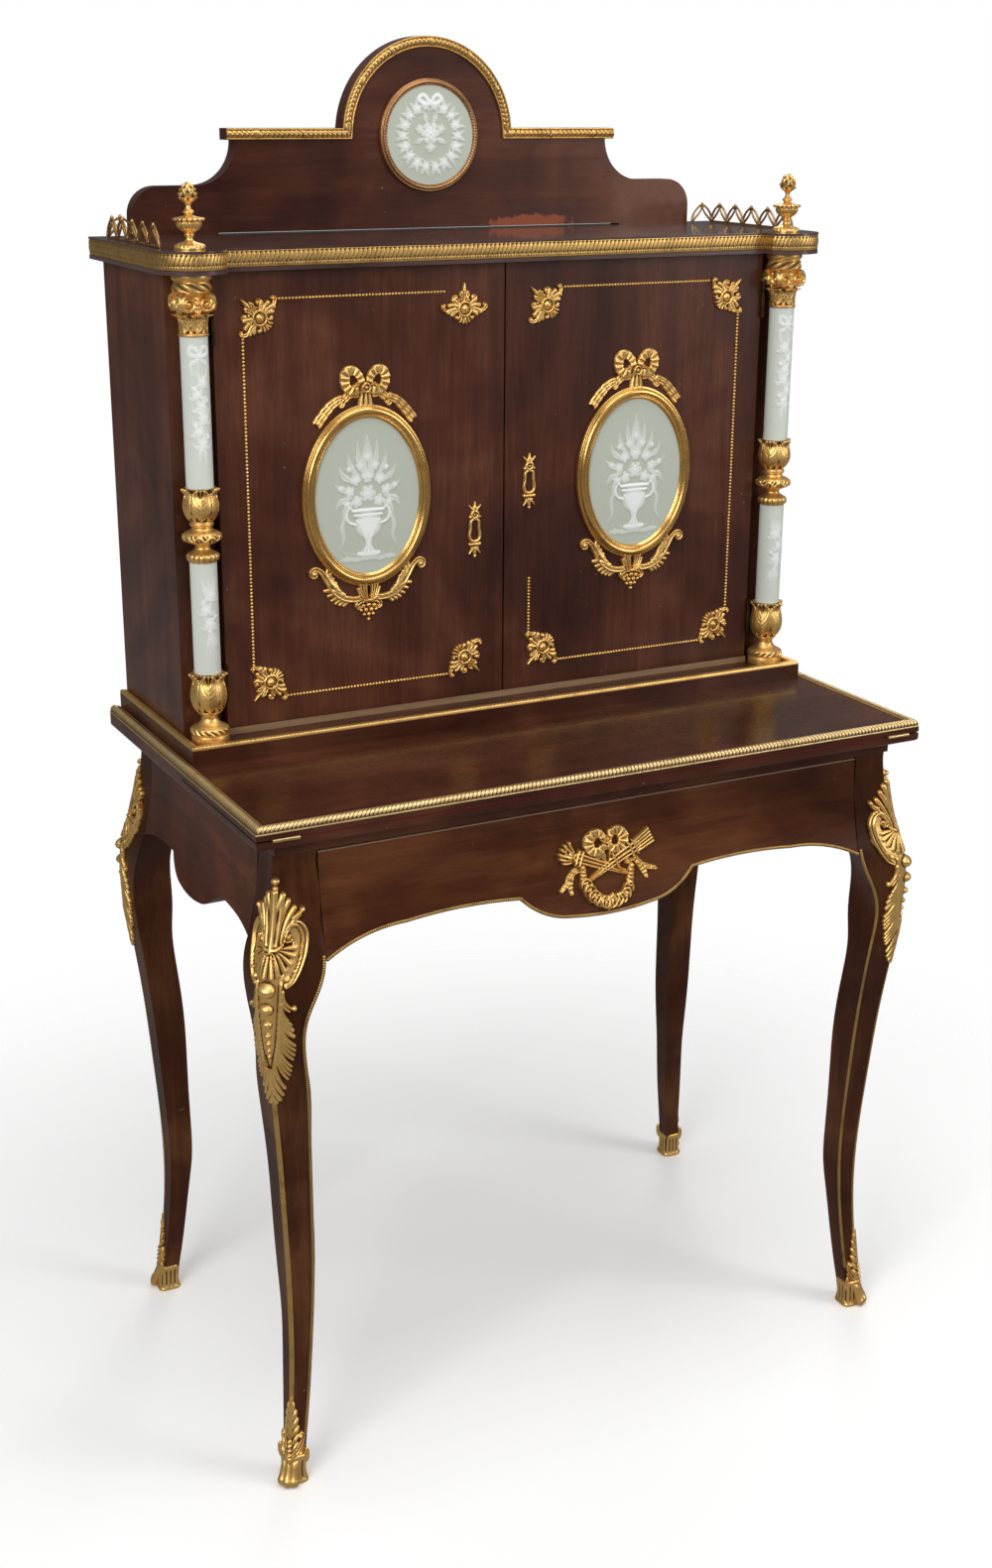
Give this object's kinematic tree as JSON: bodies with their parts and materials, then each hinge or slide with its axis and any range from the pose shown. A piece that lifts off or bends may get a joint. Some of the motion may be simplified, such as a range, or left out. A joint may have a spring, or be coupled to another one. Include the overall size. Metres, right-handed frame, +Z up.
{
  "type": "writing desk",
  "caption": "Lady's writing desk with cabriole legs, fold-over writing leaf, shaped frieze drawer and a two-door upper cabinet with columns, galleries and an arched crest.",
  "frame": {"origin": "centre of the footprint on the floor", "axes": "+X to the right seen from the front, +Y to the back, +Z up"},
  "size_m": [0.793, 0.471, 1.4733],
  "materials": {
    "mahogany": "polished",
    "inner_wood": "waxed",
    "gilt_bronze": "satin gilt",
    "porcelain": "matt with white relief",
    "lining": "matt",
    "hinge_brass": "aged",
    "lock_steel": "dull",
    "iron": "black"
  },
  "bodies": {
    "desk": {"leg_front_left": "mahogany", "leg_front_right": "mahogany", "leg_back_left": "mahogany", "leg_back_right": "mahogany", "frieze_aprons": "mahogany", "table_top": "mahogany", "rear_top": "mahogany", "cabinet_plinth": "mahogany", "cabinet_sides": "mahogany", "corner_posts": "mahogany", "cornice_board": "mahogany", "crest_board": "mahogany", "drawer_runners": "inner_wood", "cabinet_floor": "inner_wood", "cabinet_back": "inner_wood", "cabinet_shelf": "inner_wood", "sabot_front_left": "gilt_bronze", "sabot_front_right": "gilt_bronze", "sabot_back_left": "gilt_bronze", "sabot_back_right": "gilt_bronze", "knee_mounts": "gilt_bronze", "leg_trims": "gilt_bronze", "rear_top_moulding": "gilt_bronze", "plinth_moulding": "gilt_bronze", "column_bases": "gilt_bronze", "column_knops": "gilt_bronze", "column_capitals": "gilt_bronze", "cornice_band": "gilt_bronze", "galleries": "gilt_bronze", "finials": "gilt_bronze", "crest_moulding": "gilt_bronze", "medallion_frame": "gilt_bronze", "column_lower_sleeves": "porcelain", "column_upper_sleeves": "porcelain", "medallion_plaque": "porcelain", "bed_lining": "lining", "fixed_hinge_plates": "hinge_brass", "column_rods": "iron"},
    "leaf": {"leaf_board": "mahogany", "leaf_moulding": "gilt_bronze", "leaf_lining": "lining", "leaf_hinge_plates": "hinge_brass"},
    "left_door": {"left_door_panel": "mahogany", "left_plaque_frame": "gilt_bronze", "left_plaque": "porcelain", "left_door_mounts": "gilt_bronze", "left_door_hinges": "hinge_brass"},
    "right_door": {"right_door_panel": "mahogany", "right_plaque_frame": "gilt_bronze", "right_plaque": "porcelain", "right_door_mounts": "gilt_bronze", "right_door_hinges": "hinge_brass", "right_door_lock": "lock_steel"},
    "drawer": {"drawer_front": "mahogany", "drawer_sides": "inner_wood", "drawer_back": "inner_wood", "drawer_bottom": "inner_wood", "drawer_trim": "gilt_bronze", "drawer_mount": "gilt_bronze", "drawer_lock": "lock_steel"}
  },
  "joints": [
    {"name": "leaf_fold", "type": "hinge", "parent": "desk", "child": "leaf", "pos_m": [0, -0.23, 0.7408], "axis": [1, 0, 0], "range_deg": [0, 180]},
    {"name": "left_door_swing", "type": "hinge", "parent": "desk", "child": "left_door", "pos_m": [-0.329, 0.0194, 1.01], "axis": [0, 0, -1], "range_deg": [0, 90]},
    {"name": "right_door_swing", "type": "hinge", "parent": "desk", "child": "right_door", "pos_m": [0.329, 0.0194, 1.01], "axis": [0, 0, 1], "range_deg": [0, 90]},
    {"name": "drawer_slide", "type": "slide", "parent": "desk", "child": "drawer", "axis": [0, -1, 0], "range_m": [0, 0.25]}
  ]
}
